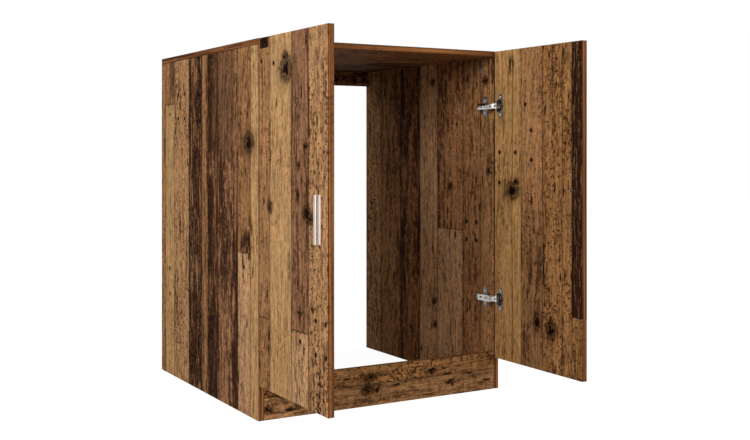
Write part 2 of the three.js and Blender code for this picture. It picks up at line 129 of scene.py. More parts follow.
# The print's tones: colour, strength of the weathering, strength of the worm marks
wood_tones = {
    "straw": ("#d2a570", 0.10, 0.15),
    "tan": ("#d5a577", 0.20, 0.45),
    "speckled": ("#c99869", 0.28, 1.00),
    "oak": ("#b58558", 0.36, 0.60),
    "brown": ("#ac7b50", 0.48, 0.60),
    "russet": ("#b58155", 0.58, 0.70),
    "olive": ("#cc9d64", 0.08, 0.05),
    "rust": ("#b2804f", 0.34, 1.05),
    "walnut": ("#a07252", 0.90, 0.45),
    "umber": ("#94653f", 1.10, 0.35),
    "char": ("#82563b", 1.60, 0.30),
    "mauve": ("#a27453", 0.38, 0.50),
    "soot": ("#23150d", 0.15, 0.20),
    "tar": ("#352217", 0.70, 0.20),
}


def lay_planks(tree, board, planks, patches):
    """Planks are (width, tone, joint height, tone below the joint) in mm from the board's low edge, and
    patches (u0, u1, v0, v1, tone). Each point gets its plank's tone, and its distance from a seam."""
    # Old planks have slightly wavy edges: about 1 mm over a hand's breadth
    wave = 0.004
    waviness = add(tree, "ShaderNodeTexNoise", {}, {"Vector": board["flat_spot"], "Scale": 9.0})
    board["u_wavy"] = add(tree, "ShaderNodeMath", {"operation": "MULTIPLY_ADD"},
                          {0: waviness, 1: wave, 2: board["u"]})
    number = 0.0
    from_seam = 1.0
    edge = wave / 2
    for plank in planks[:-1]:
        edge += plank[0] / 1000
        past = add(tree, "ShaderNodeMath", {"operation": "GREATER_THAN"}, {0: board["u_wavy"], 1: edge})
        number = add(tree, "ShaderNodeMath", {"operation": "ADD"}, {0: past, 1: number})
        off_seam = off_line(tree, board["u_wavy"], edge)
        from_seam = add(tree, "ShaderNodeMath", {"operation": "MINIMUM"}, {0: off_seam, 1: from_seam})

    # Ramps with a stop for each plank hold its tones and the height of its joint, which is scaled to
    # the board's length and a margin at both ends. A plank without a joint has it under the board.
    share = 1 / len(planks)
    margin = 0.1
    reach = board["length"] + 2 * margin
    pick = add(tree, "ShaderNodeMath", {"operation": "MULTIPLY_ADD"}, {0: number, 1: share, 2: share / 2})
    stops = {"upper": [], "lower": [], "facts": []}
    for i, plank in enumerate(planks):
        upper = wood_tones[plank[1]]
        lower = wood_tones[plank[3]] if len(plank) > 3 else upper
        height = plank[2] / 1000 if len(plank) > 2 else -margin / 2
        stops["upper"].append((i * share, linear(upper[0], upper[1])))
        stops["lower"].append((i * share, linear(lower[0], lower[1])))
        stops["facts"].append((i * share, [(height + margin) / reach, upper[2], lower[2], 1.0]))
    ramps = {}
    for key, list_of_stops in stops.items():
        ramps[key] = add(tree, "ShaderNodeValToRGB", {}, {0: pick})
        fill_ramp(ramps[key], list_of_stops, "CONSTANT")
    facts = add(tree, "ShaderNodeSeparateXYZ", {}, {0: ramps["facts"].outputs[0]})
    joint = add(tree, "ShaderNodeMath", {"operation": "MULTIPLY_ADD"},
                {0: facts.outputs[0], 1: reach, 2: -margin})
    below = add(tree, "ShaderNodeMath", {"operation": "LESS_THAN"}, {0: board["v"], 1: joint})
    tone = add(tree, "ShaderNodeMix", {"data_type": "RGBA"},
               {0: below, 6: ramps["upper"].outputs[0], 7: ramps["lower"].outputs[0]})
    darkness = add(tree, "ShaderNodeMix", {},
                   {0: below, 2: ramps["upper"].outputs[1], 3: ramps["lower"].outputs[1]})
    board["worminess"] = add(tree, "ShaderNodeMix", {},
                             {0: below, 2: facts.outputs[1], 3: facts.outputs[2]})
    off_joint = off_line(tree, board["v"], joint)
    board["from_seam"] = add(tree, "ShaderNodeMath", {"operation": "MINIMUM"}, {0: off_joint, 1: from_seam})
    # Ends in mm give middles and half spans in metres when they are divided by 2000
    for u0, u1, v0, v1, patch_tone in patches:
        in_u = add(tree, "ShaderNodeMath", {"operation": "COMPARE"},
                   {0: board["u"], 1: (u0 + u1) / 2000, 2: (u1 - u0) / 2000})
        in_v = add(tree, "ShaderNodeMath", {"operation": "COMPARE"},
                   {0: board["v"], 1: (v0 + v1) / 2000, 2: (v1 - v0) / 2000})
        inside = add(tree, "ShaderNodeMath", {"operation": "MULTIPLY"}, {0: in_u, 1: in_v})
        tone = add(tree, "ShaderNodeMix", {"data_type": "RGBA"},
                   {0: inside, 6: tone, 7: linear(wood_tones[patch_tone][0])})
        darkness = add(tree, "ShaderNodeMix", {},
                       {0: inside, 2: darkness, 3: wood_tones[patch_tone][1]})
    board.update(number=number, below=below, tone=tone, darkness=darkness)


def lay_grain(tree, board, seed):
    """Each plank gets its own piece of figure, and the edge strips' figure runs along their edges. The
    grain wanders up to 35 mm to the side over 300 mm."""
    # Each plank has two numbers, for its parts above and below the joint, and other ones behind. They
    # move the figure by up to 5 m, and strips on the ends take it from 0.31 m further on.
    own = add(tree, "ShaderNodeMath", {"operation": "MULTIPLY_ADD"},
              {0: board["number"], 1: 2.0, 2: board["below"]})
    own = add(tree, "ShaderNodeMath", {"operation": "MULTIPLY_ADD"}, {0: board["behind"], 1: 31.0, 2: own})
    own = add(tree, "ShaderNodeMath", {"operation": "ADD"}, {0: own, 1: seed})
    shift = add(tree, "ShaderNodeTexWhiteNoise", {"noise_dimensions": "1D"}, {"W": own})
    strip_u = add(tree, "ShaderNodeMath", {"operation": "MULTIPLY_ADD"},
                  {0: board["is_end"], 1: 0.31, 2: board["w"]})
    grain_u = add(tree, "ShaderNodeMix", {},
                  {0: board["is_flat"], 2: strip_u, 3: board["u_wavy"]})
    grain_v = add(tree, "ShaderNodeMix", {},
                  {0: board["is_end"], 2: board["v"], 3: board["u_plain"]})
    spot = add(tree, "ShaderNodeCombineXYZ", {}, {0: grain_u, 1: grain_v})
    spot = add(tree, "ShaderNodeVectorMath", {"operation": "MULTIPLY_ADD"},
               {0: shift.outputs["Color"], 1: (5.0, 5.0, 0.0), 2: spot})
    board["straight_spot"] = spot
    bend = add(tree, "ShaderNodeTexNoise", {"noise_dimensions": "2D"}, {"Vector": spot, "Scale": 3.5})
    board["grain_spot"] = add(tree, "ShaderNodeVectorMath", {"operation": "MULTIPLY_ADD"},
                              {0: bend.outputs["Color"], 1: (0.035, 0.0, 0.0), 2: spot})


def place_knots(tree, board, knots, nails, wild_knots, seed):
    """Knots are (u, v, half width, half height) and nails (u, v), in mm. Wild knots, 18 mm across, come
    with that chance in each cell of 90 mm. Distances from knots are counted in their half sizes."""
    wobble_size = (0.024, 0.014, 0.0)
    wobble = add(tree, "ShaderNodeTexNoise", {"noise_dimensions": "2D"},
                 {"Vector": board["flat_spot"], "Scale": 90.0, "Detail": 3.0})
    rough_spot = add(tree, "ShaderNodeVectorMath", {"operation": "MULTIPLY_ADD"},
                     {0: wobble.outputs["Color"], 1: wobble_size, 2: board["flat_spot"]})
    cell_spot = add(tree, "ShaderNodeVectorMath", {"operation": "ADD"},
                    {0: rough_spot, 1: (seed * 1.7, seed * 0.9, 0.0)})
    cells = add(tree, "ShaderNodeTexVoronoi", {"voronoi_dimensions": "2D"},
                {"Vector": cell_spot, "Scale": 11.0})
    chosen = add(tree, "ShaderNodeSeparateXYZ", {}, {0: cells.outputs["Color"]})
    no_knot = add(tree, "ShaderNodeMath", {"operation": "GREATER_THAN"},
                  {0: chosen.outputs[0], 1: wild_knots})
    from_knot = add(tree, "ShaderNodeMath", {"operation": "ADD"}, {0: cells.outputs["Distance"], 1: no_knot})
    from_knot = add(tree, "ShaderNodeMath", {"operation": "MULTIPLY"}, {0: from_knot, 1: 10.0})
    for knot_u, knot_v, half_width, half_height in knots:
        middle = (knot_u / 1000 + wobble_size[0] / 2, knot_v / 1000 + wobble_size[1] / 2, 0.0)
        off = add(tree, "ShaderNodeVectorMath", {"operation": "SUBTRACT"}, {0: rough_spot, 1: middle})
        off = add(tree, "ShaderNodeVectorMath", {"operation": "MULTIPLY"},
                  {0: off, 1: (1000 / half_width, 1000 / half_height, 0.0)})
        off = add(tree, "ShaderNodeVectorMath", {"operation": "LENGTH"}, {0: off})
        from_knot = add(tree, "ShaderNodeMath", {"operation": "MINIMUM"},
                        {0: off.outputs["Value"], 1: from_knot})
    # The face behind has no nails, as its points lie 1 m away from them
    from_nail = 1.0
    for nail_u, nail_v in nails:
        off = add(tree, "ShaderNodeVectorMath", {"operation": "DISTANCE"},
                  {0: board["flat_spot"], 1: (nail_u / 1000, nail_v / 1000, 0.0)})
        from_nail = add(tree, "ShaderNodeMath", {"operation": "MINIMUM"}, {0: off, 1: from_nail})
    board.update(from_knot=from_knot, from_nail=from_nail)


def wood_figure(tree, board):
    """The figure that every tone shares, each part by its cycles a metre across and along the planks."""
    figure = {}
    for part, across, along, detail, roughness in (
            ("rings", 12.0, 0.9, 1.5, 0.4),  # a slow field, which the sine below draws 5 to 10 mm apart
            ("weather", 8.0, 1.6, 3.0, 0.5),  # patches a hand wide
            ("blotches", 24.0, 3.2, 5.0, 0.65),  # two fingers wide
            ("streaks", 68.0, 6.0, 5.0, 0.7),  # 7 to 15 mm wide
            ("mottle", 60.0, 34.0, 5.0, 0.75),  # 17 mm wide, with grain in it
            ("pores", 130.0, 60.0, 3.0, 0.7),  # 5 mm, drawn coarser than real, which is under 1 mm
            ("fibres", 210.0, 9.0, 3.0, 0.65),  # 3 mm, drawn coarser than real, which is under 1 mm
            ("worms", 115.0, 95.0, 3.0, 0.75),  # marks of 4 to 6 mm
            ("saw_marks", 34.0, 150.0, 3.0, 0.7),  # 7 mm apart, drawn coarser than the real 3 mm
            ("worm_places", 14.0, 5.0, 2.0, 0.5)):  # where worm marks gather
        figure[part] = stretched_noise(tree, board["grain_spot"], across, along, detail, roughness)
    # A field that peaks at each knot bends the growth rings round it
    knot_peak = add(tree, "ShaderNodeMapRange", {"interpolation_type": "SMOOTHSTEP"},
                    {"Value": board["from_knot"], "From Max": 4.5, "To Min": 0.5, "To Max": 0.0})
    rings = add(tree, "ShaderNodeMath", {"operation": "ADD"}, {0: figure["rings"], 1: knot_peak})
    rings = add(tree, "ShaderNodeMath", {"operation": "MULTIPLY"}, {0: rings, 1: 85.0})
    figure["rings"] = add(tree, "ShaderNodeMath", {"operation": "SINE"}, {0: rings})
    return figure


def shaded_tone(tree, board, figure):
    """The plank's tone, shaded by its figure, with a slow drift along the plank and redder places."""
    strength = add(tree, "ShaderNodeMath", {"operation": "MULTIPLY_ADD"},
                   {0: board["darkness"], 1: 0.8, 2: 0.5})
    shade = 1.0
    for part, low_end, high_end, lowest, highest, weight in (
            ("rings", -1.0, 1.0, -0.08, 0.05, 0.9),
            ("streaks", 0.38, 0.62, 0.19, -0.21, strength),
            ("mottle", 0.38, 0.62, 0.14, -0.16, strength),
            ("pores", 0.38, 0.62, 0.25, -0.3, strength),
            ("saw_marks", 0.38, 0.62, 0.18, -0.18, board["darkness"]),
            ("fibres", 0.36, 0.64, -0.26, 0.2, 0.9)):
        ranged = add(tree, "ShaderNodeMapRange", {},
                     {"Value": figure[part], "From Min": low_end, "From Max": high_end,
                      "To Min": lowest, "To Max": highest})
        shade = add(tree, "ShaderNodeMath", {"operation": "MULTIPLY_ADD"}, {0: ranged, 1: weight, 2: shade})
    drift = add(tree, "ShaderNodeMapRange", {},
                {"Value": figure["weather"], "From Min": 0.25, "From Max": 0.75,
                 "To Min": 1.2, "To Max": 0.82})
    drift = add(tree, "ShaderNodeMath", {"operation": "SUBTRACT"}, {0: drift, 1: 1.0})
    drift = add(tree, "ShaderNodeMath", {"operation": "MULTIPLY"}, {0: drift, 1: strength})
    drift = add(tree, "ShaderNodeMath", {"operation": "MULTIPLY_ADD"}, {0: drift, 1: 0.65, 2: 1.0})
    shade = add(tree, "ShaderNodeMath", {"operation": "MULTIPLY"}, {0: shade, 1: drift})
    colour = add(tree, "ShaderNodeVectorMath", {"operation": "SCALE"}, {0: board["tone"], "Scale": shade})
    redness = add(tree, "ShaderNodeMapRange", {},
                  {"Value": figure["worm_places"], "From Min": 0.35, "From Max": 0.7, "To Max": 0.4})
    redder = add(tree, "ShaderNodeVectorMath", {"operation": "MULTIPLY"}, {0: colour, 1: (1.03, 0.86, 0.8)})
    return add(tree, "ShaderNodeMix", {"data_type": "RGBA"}, {0: redness, 6: colour, 7: redder})


def weathered(tree, board, figure, colour):
    """Weathering lays a dark crust over the plank in ragged runs, wider and deeper in the dark tones,
    and pale flecks show through it where the surface has split off."""
    run = add(tree, "ShaderNodeMath", {"operation": "SUBTRACT"}, {0: figure["weather"], 1: 0.5})
    run = add(tree, "ShaderNodeMath", {"operation": "MULTIPLY"}, {0: run, 1: board["darkness"]})
    for part, weight in (("blotches", 0.75), ("streaks", 0.75), ("mottle", 0.55), ("pores", 0.4)):
        run = add(tree, "ShaderNodeMath", {"operation": "MULTIPLY_ADD"},
                  {0: figure[part], 1: weight, 2: run})
    run = add(tree, "ShaderNodeMath", {"operation": "MULTIPLY_ADD"},
              {0: board["darkness"], 1: 0.22, 2: run})
    run = add(tree, "ShaderNodeMapRange", {}, {"Value": run, "From Min": 1.38, "From Max": 1.5})
    depth = add(tree, "ShaderNodeMath", {"operation": "MULTIPLY_ADD"},
                {0: board["darkness"], 1: 0.6, 2: 0.4})
    run = add(tree, "ShaderNodeMath", {"operation": "MULTIPLY"}, {0: run, 1: depth})
    crust = figure["mottle"]
    for part in ("saw_marks", "pores", "streaks"):
        crust = add(tree, "ShaderNodeMath", {"operation": "ADD"}, {0: crust, 1: figure[part]})
    crust = add(tree, "ShaderNodeMapRange", {}, {"Value": crust, "From Min": 1.82, "From Max": 2.24})
    crust = add(tree, "ShaderNodeMix", {"data_type": "RGBA"},
                {0: crust, 6: linear("#0d0401"), 7: linear("#55301c")})
    colour = add(tree, "ShaderNodeMix", {"data_type": "RGBA"}, {0: run, 6: colour, 7: crust})
    flecks = add(tree, "ShaderNodeMath", {"operation": "MULTIPLY_ADD"},
                 {0: figure["blotches"], 1: -0.35, 2: figure["fibres"]})
    flecks = add(tree, "ShaderNodeMath", {"operation": "MULTIPLY_ADD"},
                 {0: figure["pores"], 1: 0.5, 2: flecks})
    flecks = add(tree, "ShaderNodeMapRange", {},
                 {"Value": flecks, "From Min": 0.65, "From Max": 0.71, "To Max": 0.6})
    flecks = add(tree, "ShaderNodeMath", {"operation": "MULTIPLY"}, {0: flecks, 1: board["darkness"]})
    return add(tree, "ShaderNodeMix", {"data_type": "RGBA"}, {0: flecks, 6: colour, 7: linear("#b98b5d")})


def stained(tree, board, figure, colour, stains):
    """Stains are places that are nearly black with ragged borders, as u0, u1, v0 and v1 in mm and a
    depth. Worm marks of 4 to 6 mm lie over them."""
    ink = add(tree, "ShaderNodeMapRange", {}, {"Value": figure["pores"], "From Min": 0.38, "From Max": 0.62})
    ink = add(tree, "ShaderNodeMix", {"data_type": "RGBA"},
              {0: ink, 6: linear("#150904"), 7: linear("#4a2b18")})
    along_share = 0.35
    for u0, u1, v0, v1, stain_depth in stains:
        out_u = off_line(tree, board["u"], (u0 + u1) / 2000)
        out_u = add(tree, "ShaderNodeMath", {"operation": "SUBTRACT"}, {0: out_u, 1: (u1 - u0) / 2000})
        out_v = off_line(tree, board["v"], (v0 + v1) / 2000)
        out_v = add(tree, "ShaderNodeMath", {"operation": "MULTIPLY_ADD"},
                    {0: out_v, 1: along_share, 2: -along_share * (v1 - v0) / 2000})
        out = add(tree, "ShaderNodeMath", {"operation": "MAXIMUM"}, {0: out_u, 1: out_v})
        for part, weight in (("blotches", -0.05), ("mottle", -0.035), ("streaks", -0.03)):
            out = add(tree, "ShaderNodeMath", {"operation": "MULTIPLY_ADD"},
                      {0: figure[part], 1: weight, 2: out})
        stain = add(tree, "ShaderNodeMapRange", {},
                    {"Value": out, "From Min": -0.066, "From Max": -0.053,
                     "To Min": stain_depth, "To Max": 0.0})
        colour = add(tree, "ShaderNodeMix", {"data_type": "RGBA"}, {0: stain, 6: colour, 7: ink})

    worms = add(tree, "ShaderNodeMath", {"operation": "MULTIPLY_ADD"},
                {0: figure["worm_places"], 1: 0.25, 2: figure["worms"]})
    worms = add(tree, "ShaderNodeMath", {"operation": "MULTIPLY_ADD"},
                {0: board["worminess"], 1: 0.11, 2: worms})
    board["worm_marks"] = add(tree, "ShaderNodeMapRange", {},
                              {"Value": worms, "From Min": 0.82, "From Max": 0.855, "To Max": 0.88})
    return add(tree, "ShaderNodeMix", {"data_type": "RGBA"},
               {0: board["worm_marks"], 6: colour, 7: linear("#22140c")})


def cracked(tree, board, figure, colour):
    """Lines, hair cracks and dashes, where the wood has dried open."""
    # Dark lines 1 to 3 mm wide that follow the grain for a hand's length
    lines = stretched_noise(tree, board["grain_spot"], 22.0, 0.9, 2.0)
    lines = off_line(tree, lines, 0.5)
    lines = add(tree, "ShaderNodeMapRange", {},
                {"Value": lines, "From Min": 0.006, "From Max": 0.014, "To Min": 0.65, "To Max": 0.0})
    places = add(tree, "ShaderNodeMapRange", {},
                 {"Value": figure["mottle"], "From Min": 0.4, "From Max": 0.55})
    lines = add(tree, "ShaderNodeMath", {"operation": "MULTIPLY"}, {0: lines, 1: places})

    # Hair cracks, up to 1 mm wide, that run aslant in the worn places
    spot = add(tree, "ShaderNodeVectorRotate", {"rotation_type": "Z_AXIS"},
               {"Vector": board["straight_spot"], "Angle": 0.6})
    crack = stretched_noise(tree, spot, 70.0, 12.0, 1.0)
    crack = off_line(tree, crack, 0.5)
    crack = add(tree, "ShaderNodeMapRange", {},
                {"Value": crack, "From Min": 0.006, "From Max": 0.012, "To Min": 1.0, "To Max": 0.0})
    places = add(tree, "ShaderNodeMath", {"operation": "MULTIPLY_ADD"},
                 {0: figure["pores"], 1: 0.6, 2: figure["worm_places"]})
    places = add(tree, "ShaderNodeMapRange", {},
                 {"Value": places, "From Min": 0.9, "From Max": 1.0, "To Max": 0.6})
    crack = add(tree, "ShaderNodeMath", {"operation": "MULTIPLY"}, {0: crack, 1: places})

    # Dashes along the grain, about 6 by 25 mm, in a few cells of the wormy planks
    spot = add(tree, "ShaderNodeVectorMath", {"operation": "MULTIPLY"},
               {0: board["grain_spot"], 1: (42.0, 11.0, 0.0)})
    cells = add(tree, "ShaderNodeTexVoronoi", {"voronoi_dimensions": "2D"}, {"Vector": spot, "Scale": 1.0})
    places = add(tree, "ShaderNodeSeparateXYZ", {}, {0: cells.outputs["Color"]})
    places = add(tree, "ShaderNodeMath", {"operation": "MULTIPLY_ADD"},
                 {0: board["worminess"], 1: -0.3, 2: places})
    places = add(tree, "ShaderNodeMath", {"operation": "LESS_THAN"}, {0: places, 1: 0.01})
    dash = add(tree, "ShaderNodeMath", {"operation": "MULTIPLY_ADD"},
               {0: figure["mottle"], 1: 0.5, 2: cells.outputs["Distance"]})
    dash = add(tree, "ShaderNodeMapRange", {},
               {"Value": dash, "From Min": 0.34, "From Max": 0.42, "To Min": 0.9, "To Max": 0.0})
    dash = add(tree, "ShaderNodeMath", {"operation": "MULTIPLY"}, {0: dash, 1: places})
    for mask, dark in ((lines, "#3a2314"), (crack, "#24140a"), (dash, "#1d110a")):
        colour = add(tree, "ShaderNodeMix", {"data_type": "RGBA"}, {0: mask, 6: colour, 7: linear(dark)})
    return colour


def knotted(tree, board, figure, colour):
    """Knots with a black heart, a brown ring and a dark rim, then grime, seams and nails."""
    ragged = add(tree, "ShaderNodeMath", {"operation": "MULTIPLY_ADD"},
                 {0: figure["mottle"], 1: 1.6, 2: board["from_knot"]})
    ragged = add(tree, "ShaderNodeMath", {"operation": "ADD"}, {0: figure["pores"], 1: ragged})
    ragged = add(tree, "ShaderNodeMath", {"operation": "MULTIPLY"}, {0: ragged, 1: 0.2})
    heart = add(tree, "ShaderNodeValToRGB", {}, {0: ragged})
    heart_stops = []
    for place, tone, cover in ((0.26, "#140a05", 1.0), (0.36, "#140a05", 1.0), (0.40, "#6b4528", 0.8),
                               (0.44, "#1c0f07", 0.9), (0.50, "#2a180c", 0.6), (0.55, "#4b2c19", 0.25),
                               (0.74, "#5b371f", 0.0)):
        heart_stops.append((place, linear(tone, cover)))
    fill_ramp(heart, heart_stops, "LINEAR")
    colour = add(tree, "ShaderNodeMix", {"data_type": "RGBA"},
                 {0: heart.outputs[1], 6: colour, 7: heart.outputs[0]})

    # Grime within 20 mm of a seam, a seam 3 mm wide that is open in places, and nail heads 8 mm across
    # with a stain that fades out at 16 mm
    grime = add(tree, "ShaderNodeMath", {"operation": "MULTIPLY_ADD"},
                {0: figure["blotches"], 1: 0.03, 2: board["from_seam"]})
    grime = add(tree, "ShaderNodeMapRange", {},
                {"Value": grime, "From Min": 0.012, "From Max": 0.034, "To Min": 0.4, "To Max": 0.0})
    grime = add(tree, "ShaderNodeMath", {"operation": "MULTIPLY"}, {0: grime, 1: board["darkness"]})
    seam = add(tree, "ShaderNodeMapRange", {},
               {"Value": board["from_seam"], "From Min": 0.0006, "From Max": 0.0028,
                "To Min": 1.0, "To Max": 0.0})
    open_seam = add(tree, "ShaderNodeMapRange", {},
                    {"Value": figure["worm_places"], "From Min": 0.4, "From Max": 0.6,
                     "To Min": 0.3, "To Max": 0.85})
    board["seam"] = add(tree, "ShaderNodeMath", {"operation": "MULTIPLY"}, {0: seam, 1: open_seam})
    nail = add(tree, "ShaderNodeMapRange", {},
               {"Value": board["from_nail"], "From Min": 0.004, "From Max": 0.0078,
                "To Min": 0.98, "To Max": 0.0})
    for mask, dark in ((grime, "#20130b"), (board["seam"], "#1d120b"), (nail, "#120a05")):
        colour = add(tree, "ShaderNodeMix", {"data_type": "RGBA"}, {0: mask, 6: colour, 7: linear(dark)})
    return colour


def edge_strip(tree, board, colour):
    """The melamine strip on the board's edges: its own warmer print, in long stripes 6 mm wide, with a
    dark glue line along both rims. The other faces keep their colour."""
    stripes = stretched_noise(tree, board["straight_spot"], 170.0, 1.6, 3.0, 0.6)
    strip = add(tree, "ShaderNodeValToRGB", {}, {0: stripes})
    fill_ramp(strip, [(0.3, linear("#3b2213")), (0.43, linear("#73472a")), (0.56, linear("#935c34")),
                      (0.7, linear("#b27c4b"))], "LINEAR")
    marks = add(tree, "ShaderNodeMath", {"operation": "MULTIPLY"}, {0: board["worm_marks"], 1: 0.5})
    strip = add(tree, "ShaderNodeMix", {"data_type": "RGBA"}, {0: marks, 6: strip, 7: linear("#2b1a10")})
    half = board["thickness"] / 2
    off_middle = off_line(tree, board["w"], half)
    glue = add(tree, "ShaderNodeMapRange", {},
               {"Value": off_middle, "From Min": half - 0.0024, "From Max": half - 0.001, "To Max": 0.75})
    strip = add(tree, "ShaderNodeMix", {"data_type": "RGBA"}, {0: glue, 6: strip, 7: linear("#2b180c")})
    return add(tree, "ShaderNodeMix", {"data_type": "RGBA"}, {0: board["is_flat"], 6: strip, 7: colour})


def printed_planks(name, node, across, along, seed, planks, knots=(), nails=(), patches=(), stains=(),
                   wild_knots=0.15):
    """The printed face of one board, whose tables are explained in the functions that take them."""
    material, tree = new_material(name)
    board = board_places(tree, node, across, along)
    lay_planks(tree, board, planks, patches)
    lay_grain(tree, board, seed)
    place_knots(tree, board, knots, nails, wild_knots, seed)
    figure = wood_figure(tree, board)
    colour = shaded_tone(tree, board, figure)
    colour = weathered(tree, board, figure, colour)
    colour = stained(tree, board, figure, colour, stains)
    colour = cracked(tree, board, figure, colour)
    colour = knotted(tree, board, figure, colour)
    colour = edge_strip(tree, board, colour)

    # Melamine paper pressed matt gives the eye a flat face without highlights, on which only the
    # print shows, with hardly a trace of relief along the fibres and seams
    gloss = add(tree, "ShaderNodeMapRange", {},
                {"Value": figure["fibres"], "From Min": 0.3, "From Max": 0.7,
                 "To Min": 0.72, "To Max": 0.56})
    relief = add(tree, "ShaderNodeMath", {"operation": "SUBTRACT"}, {0: figure["fibres"], 1: board["seam"]})
    bump = add(tree, "ShaderNodeBump", {}, {"Strength": 0.3, "Distance": 0.0004, "Height": relief})
    surface = add(tree, "ShaderNodeBsdfPrincipled", {},
                  {"Base Color": colour, "Roughness": gloss, "IOR": 1.5, "Specular IOR Level": 0.015,
                   "Normal": bump})
    add(tree, "ShaderNodeOutputMaterial", {}, {"Surface": surface})
    return material


def place_piece(name, mesh, material, body, replaced):
    """Puts a finished mesh in the scene in place of the nodes that it stands for."""
    mesh.materials.clear()
    mesh.materials.append(material)
    piece = bpy.data.objects.new(name, mesh)
    bpy.context.scene.collection.objects.link(piece)
    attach(piece, body)
    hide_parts(*replaced)
    return piece


# In metres: how near points are one, how near ends lie on the box, and how far edges are rounded
merge_distance = 0.000001
on_the_box = 0.00001
edge_radius = 0.0007


def soft_board(node, body, material):
    """The board with its outer edges rounded by 0.7 mm, as edge strips are after trimming."""
    low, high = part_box(node)
    form = bmesh.new()
    form.from_mesh(nodes[node].data)
    bmesh.ops.remove_doubles(form, verts=form.verts[:], dist=merge_distance)
    bmesh.ops.dissolve_limit(form, angle_limit=math.radians(1), verts=form.verts[:], edges=form.edges[:])
    outer = []
    for edge in form.edges:
        ends = [vert.co for vert in edge.verts]
        shared = 0
        for axis in range(3):
            for limit in (low[axis], high[axis]):
                if all(abs(end[axis] - limit) < on_the_box for end in ends):
                    shared += 1
        if shared == 2:
            outer.append(edge)
    bmesh.ops.bevel(form, geom=outer, offset=edge_radius, segments=2, profile=0.5, affect="EDGES")
    mesh = bpy.data.meshes.new(node + "_board")
    form.to_mesh(mesh)
    form.free()
    place_piece(node + "_board", mesh, material, body, [node])


left_side_print = printed_planks(
    "Melamine board, plank print, left side", "side_panel_left", "Y", "Z", 3.0,
    [(48, "straw"), (77, "brown", 395, "tan"), (135, "walnut"), (68, "char"), (44, "brown"), (98, "char"),
     (116, "speckled"), (74, "russet", 779, "straw"), (38, "oak")],
    knots=[(57, 665, 25, 23)],
    nails=[(626, 751), (626, 306), (626, 232), (554, 804), (505, 804), (554, 736), (505, 735), (87, 360)],
    stains=[(46, 112, 396, 462, 1.0), (392, 412, 330, 560, 0.6), (352, 372, -60, 300, 0.4),
            (405, 425, -60, 260, 0.7), (592, 634, 790, 960, 0.6), (266, 322, -60, 300, 0.75),
            (124, 150, -60, 460, 0.8), (398, 450, 740, 830, 0.8), (410, 442, 480, 640, 0.7),
            (262, 318, 600, 720, 0.6), (272, 326, 330, 570, 0.7), (236, 256, 380, 470, 0.6),
            (180, 194, 520, 640, 0.6), (140, 335, 600, 960, 0.45)],
    wild_knots=0.0)
soft_board("side_panel_left", "carcass", left_side_print)
right_side_print = printed_planks(
    "Melamine board, plank print, right side", "side_panel_right", "Y", "Z", 11.0,
    [(62, "oak"), (84, "brown"), (130, "russet", 420, "tan"), (96, "tan"), (110, "umber"), (120, "brown"),
     (96, "speckled")],
    knots=[(40, 838, 11, 9), (24, 590, 9, 8)],
    nails=[(80, 446), (128, 446), (80, 396), (128, 396)],
    stains=[(-5, 30, 830, 905, 0.8)])
soft_board("side_panel_right", "carcass", right_side_print)

# Plinth: a 100 mm strip of the same board between the sides, under the doors. Its print runs
# along it, in two planks.
plinth_print = printed_planks(
    "Melamine board, plank print, plinth", "plinth_board", "Z", "X", 17.0,
    [(54, "oak"), (46, "rust")],
    knots=[(26, 12, 7, 12), (28, 96, 7, 12), (71, 294, 7, 16), (41, 284, 11, 15), (37, 312, 5, 7),
           (69, 478, 5, 13), (35, 536, 5, 12)],
    wild_knots=0.0)
soft_board("plinth_board", "carcass", plinth_print)

# Rear rail: a narrow strip of the board on edge under the top at the back, which keeps the
# open-backed carcass square.
rail_print = printed_planks(
    "Melamine board, plank print, rear rail", "rear_top_rail", "Z", "X", 23.0,
    [(45, "russet")],
    knots=[(20, 560, 6, 8), (24, 590, 5, 7), (18, 625, 6, 8), (23, 660, 5, 7)],
    wild_knots=0.2)
soft_board("rear_top_rail", "carcass", rail_print)

# Top board: the same board, laid on the upper edges of the sides and drawn down on them by cams.
# Its planks run from side to side, and the tables hold for its underside, whose umber and brown
# planks are painted shade under the top.
top_print_and_shade = printed_planks(
    "Melamine board, plank print and painted shade, top", "top_panel", "Y", "X", 29.0,
    # The umber and brown tones darken the underside as painted shade, beyond what the print itself has
    [(95, "brown"), (120, "russet", 300, "oak"), (98, "brown"), (117, "umber", 520, "brown"), (140, "umber"),
     (127, "umber")],
    nails=[(110, 312), (200, 312), (110, 288), (200, 288)])
soft_board("top_panel", "carcass", top_print_and_shade)

# Doors: the same board, sawn and edged, with the planks upright and bores for the hinge cups in the
# inner face. Each hangs on two hinges in front of its side board.
left_door_print = printed_planks(
    "Melamine board, plank print, left door", "door_left", "Y", "Z", 37.0,
    [(91, "speckled"), (86, "mauve", 162, "tan"), (114, "straw"), (66, "oak", 167, "brown")],
    knots=[(206, 746, 27, 26), (209, 775, 14, 11), (291, 430, 10, 14), (98, 425, 19, 16), (84, 412, 12, 10),
           (107, 571, 7, 13), (139, 529, 6, 9), (145, 465, 6, 13), (134, 203, 8, 13)],
    nails=[(57, 197), (11, 195), (57, 124), (11, 123), (132, 141), (271, 764), (340, 773)],
    stains=[(88, 104, 330, 500, 0.7), (86, 98, 600, 700, 0.6)],
    patches=[(300, 349, 803, 840, "soot")],
    wild_knots=0.0)
soft_board("door_left", "door_left", left_door_print)
right_door_print = printed_planks(
    "Melamine board, plank print, right door", "door_right", "Y", "Z", 41.0,
    [(38, "tar", 152, "rust"), (36, "rust"), (76, "rust"), (88, "oak"), (38, "olive"), (73, "olive")],
    knots=[(173, 122, 13, 20), (118, 108, 17, 20), (275, 455, 24, 20), (259, 478, 10, 9)],
    nails=[(221, 681), (197, 613), (195, 537), (332, 556), (263, 556), (332, 475), (263, 479)],
    stains=[(270, 292, 770, 815, 0.9), (144, 238, -60, 410, 0.32), (148, 168, 228, 318, 0.75),
            (194, 210, 190, 300, 0.6), (-10, 30, -60, 140, 0.35)],
    wild_knots=0.0)
